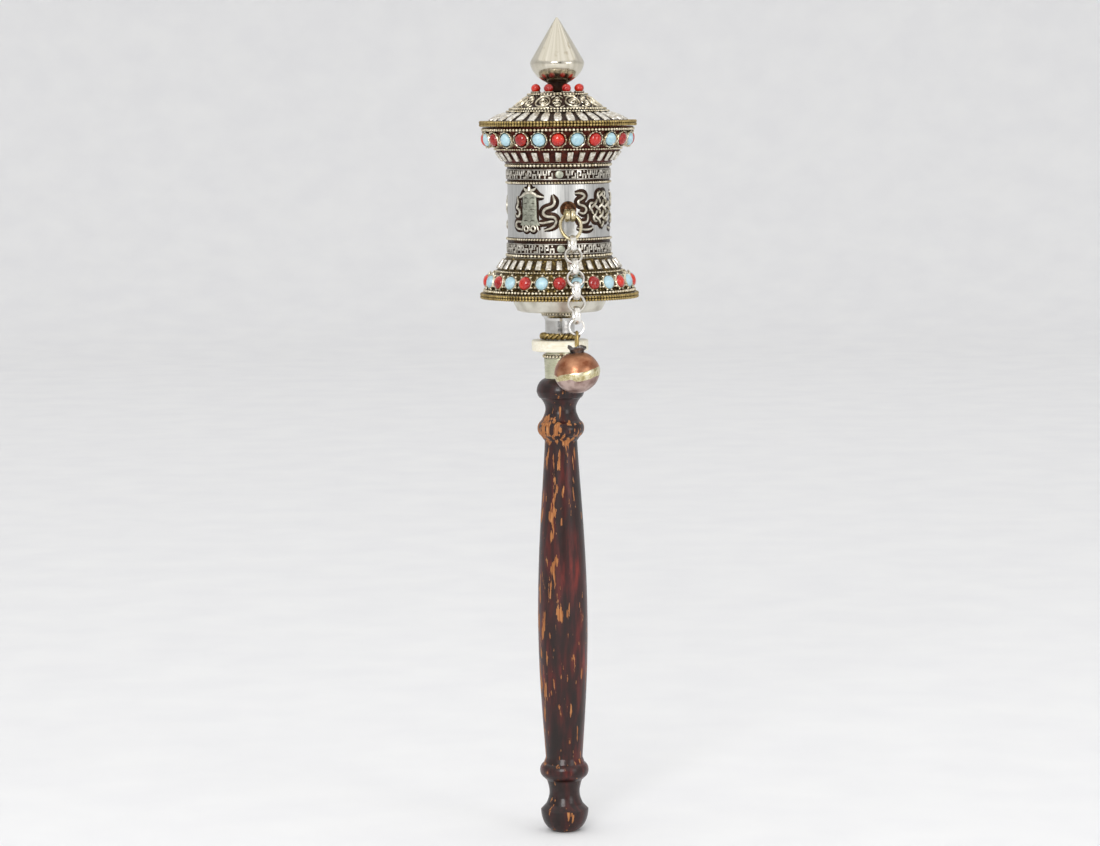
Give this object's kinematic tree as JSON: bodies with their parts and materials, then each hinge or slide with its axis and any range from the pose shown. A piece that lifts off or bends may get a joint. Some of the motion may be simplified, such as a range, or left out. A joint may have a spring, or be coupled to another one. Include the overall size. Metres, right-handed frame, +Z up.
{
  "type": "hand-held prayer wheel",
  "caption": "Hand-held prayer wheel: stone-set flanged metal drum with conical roof and finial, spinning on a turned wooden handle, with a weighted ball on a chain.",
  "frame": {"origin": "on the rod's axis, at the small flat on the end of the handle", "axes": "+Z up the rod from the handle's end to the finial's tip; the drum's front, with the chain's lug, faces -Y; +X to the right"},
  "size_m": [0.0554, 0.0661, 0.2861],
  "materials": {
    "lacquered_wood": "worn gloss lacquer",
    "pale_silver": "satin",
    "old_brass": "antiqued",
    "steel": "satin",
    "bone": "polished bone",
    "polished_silver": "polished",
    "antique_silver": "antiqued",
    "scroll_paper": "wound paper",
    "brushed_silver": "brushed",
    "dark_patina": "dark patina",
    "coral": "glossy stone",
    "turquoise": "semi-gloss stone",
    "old_copper": "antiqued copper",
    "nickel_silver": "polished",
    "chain_silver": "bright",
    "rose_copper": "polished",
    "dark_lead": "dull"
  },
  "bodies": {
    "root": {"handle": "lacquered_wood", "ferrule": "pale_silver", "ferrule_bead_ring": "old_brass", "axle": "steel"},
    "washer": {"bone_washer": "bone"},
    "drum": {"rope_ring": "old_brass", "hub_sleeve": "polished_silver", "hub_bead_ring": "antique_silver", "lower_bush": "old_brass", "upper_bush": "old_brass", "axle_tube": "old_brass", "prayer_scroll": "scroll_paper", "bottom_dish": "pale_silver", "bottom_plate": "pale_silver", "drum_shell": "brushed_silver", "lower_flange": "dark_patina", "upper_flange": "dark_patina", "lower_rim_wires": "old_brass", "lower_bead_rings": "antique_silver", "upper_bead_rings": "antique_silver", "shell_bead_rings": "antique_silver", "band_wires": "old_brass", "lower_fret_band": "antique_silver", "upper_fret_band": "antique_silver", "lower_ribs": "antique_silver", "upper_ribs": "antique_silver", "lower_bezels": "antique_silver", "lower_corals": "coral", "lower_turquoises": "turquoise", "upper_bezels": "antique_silver", "upper_corals": "coral", "upper_turquoises": "turquoise", "banner_relief": "antique_silver", "knot_relief": "antique_silver", "lotus_relief": "antique_silver", "wheel_relief": "antique_silver", "chain_lug": "old_copper"},
    "lid": {"roof_cone": "dark_patina", "roof_rim_wires": "old_brass", "roof_ribs": "antique_silver", "roof_bead_rings": "antique_silver", "roof_scroll_band": "antique_silver", "coral_cups": "antique_silver", "roof_corals": "coral"},
    "finial": {"finial": "nickel_silver", "finial_nut": "old_brass"},
    "ring": {"chain_ring": "chain_silver"},
    "link_1": {"chain_link_1": "chain_silver"},
    "link_2": {"chain_link_2": "chain_silver"},
    "link_3": {"chain_link_3": "chain_silver"},
    "link_4": {"chain_link_4": "chain_silver"},
    "link_5": {"chain_link_5": "chain_silver"},
    "link_6": {"chain_link_6": "chain_silver"},
    "link_7": {"chain_link_7": "chain_silver"},
    "thin_ring": {"thin_ring": "chain_silver"},
    "jump_ring": {"jump_ring": "old_brass"},
    "ball": {"ball_upper_half": "old_copper", "ball_lower_half": "rose_copper", "ball_seam": "old_brass", "ball_neck": "dark_lead"}
  },
  "joints": [
    {"name": "washer_spin", "type": "hinge", "parent": "root", "child": "washer", "pos_m": [0, 0, 0.17], "axis": [0, 0, 1], "continuous": true},
    {"name": "drum_spin", "type": "hinge", "parent": "root", "child": "drum", "pos_m": [0, 0, 0.2], "axis": [0, 0, 1], "continuous": true},
    {"name": "finial_lift", "type": "slide", "parent": "root", "child": "finial", "axis": [0, 0, 1], "range_m": [0, 0.04]},
    {"name": "lid_lift", "type": "slide", "parent": "drum", "child": "lid", "axis": [0, 0, 1], "range_m": [0, 0.02]},
    {"name": "ring_swing", "type": "hinge", "parent": "drum", "child": "ring", "pos_m": [0.00372, -0.02006, 0.21824], "axis": [-0.9833, -0.1822, 0], "range_deg": [0, 80]},
    {"name": "link_1_swing", "type": "hinge", "parent": "ring", "child": "link_1", "pos_m": [0.00437, -0.02359, 0.21021], "axis": [-0.9833, -0.1822, 0], "range_deg": [0, 35]},
    {"name": "link_2_swing", "type": "hinge", "parent": "link_1", "child": "link_2", "pos_m": [0.00471, -0.02543, 0.206], "axis": [0.1664, -0.8978, 0.4077], "range_deg": [-30, 30]},
    {"name": "link_3_swing", "type": "hinge", "parent": "link_2", "child": "link_3", "pos_m": [0.00502, -0.02711, 0.20217], "axis": [-0.9833, -0.1822, 0], "range_deg": [0, 30]},
    {"name": "link_4_swing", "type": "hinge", "parent": "link_3", "child": "link_4", "pos_m": [0.00534, -0.0288, 0.19833], "axis": [-0.1664, 0.8978, -0.4077], "range_deg": [-30, 30]},
    {"name": "link_5_swing", "type": "hinge", "parent": "link_4", "child": "link_5", "pos_m": [0.00565, -0.03048, 0.1945], "axis": [-0.9833, -0.1822, 0], "range_deg": [0, 40]},
    {"name": "link_6_swing", "type": "hinge", "parent": "link_5", "child": "link_6", "pos_m": [0.00565, -0.03048, 0.1903], "axis": [0.1822, -0.9833, 0], "range_deg": [-30, 30]},
    {"name": "link_7_swing", "type": "hinge", "parent": "link_6", "child": "link_7", "pos_m": [0.00565, -0.03048, 0.1861], "axis": [-0.9833, -0.1822, 0], "range_deg": [-10, 25]},
    {"name": "thin_ring_swing", "type": "hinge", "parent": "link_7", "child": "thin_ring", "pos_m": [0.00565, -0.03048, 0.1819], "axis": [-0.1822, 0.9833, 0], "range_deg": [-30, 30]},
    {"name": "jump_ring_swing", "type": "hinge", "parent": "thin_ring", "child": "jump_ring", "pos_m": [0.00565, -0.03048, 0.17815], "axis": [-0.9833, -0.1822, 0], "range_deg": [-20, 30]},
    {"name": "ball_swing", "type": "hinge", "parent": "jump_ring", "child": "ball", "pos_m": [0.00565, -0.03048, 0.17145], "axis": [0.1822, -0.9833, 0], "range_deg": [-20, 20]}
  ],
  "couplings": [
    {"joint": "lid_lift", "follows": "finial_lift", "ratio": 0.5}
  ]
}
